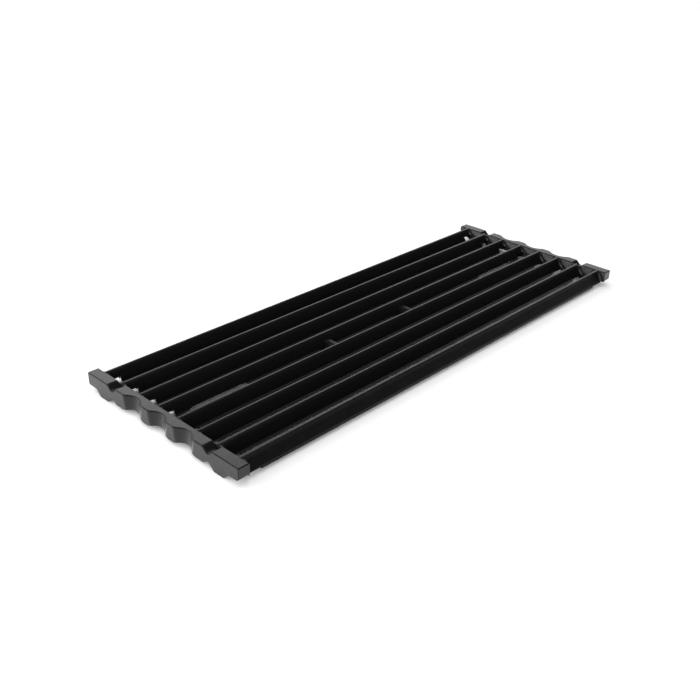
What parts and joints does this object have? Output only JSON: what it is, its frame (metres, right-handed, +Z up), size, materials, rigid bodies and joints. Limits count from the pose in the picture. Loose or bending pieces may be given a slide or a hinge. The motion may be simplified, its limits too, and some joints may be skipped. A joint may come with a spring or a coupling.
{
  "type": "grill grate",
  "caption": "Long cast iron grill grate: parallel ridged bars joined by scalloped end rails with feet. It lies over a grill's burners and carries the food.",
  "frame": {"origin": "middle of the flat surface that the feet stand on", "axes": "+X along the bars, +Y across them, +Z up towards the cooking ridges"},
  "size_m": [0.431, 0.1606, 0.014],
  "materials": {
    "enamelled_iron": "satin black enamel over a fine cast texture"
  },
  "bodies": {
    "root": {"grill_grate": "enamelled_iron"}
  },
  "joints": []
}
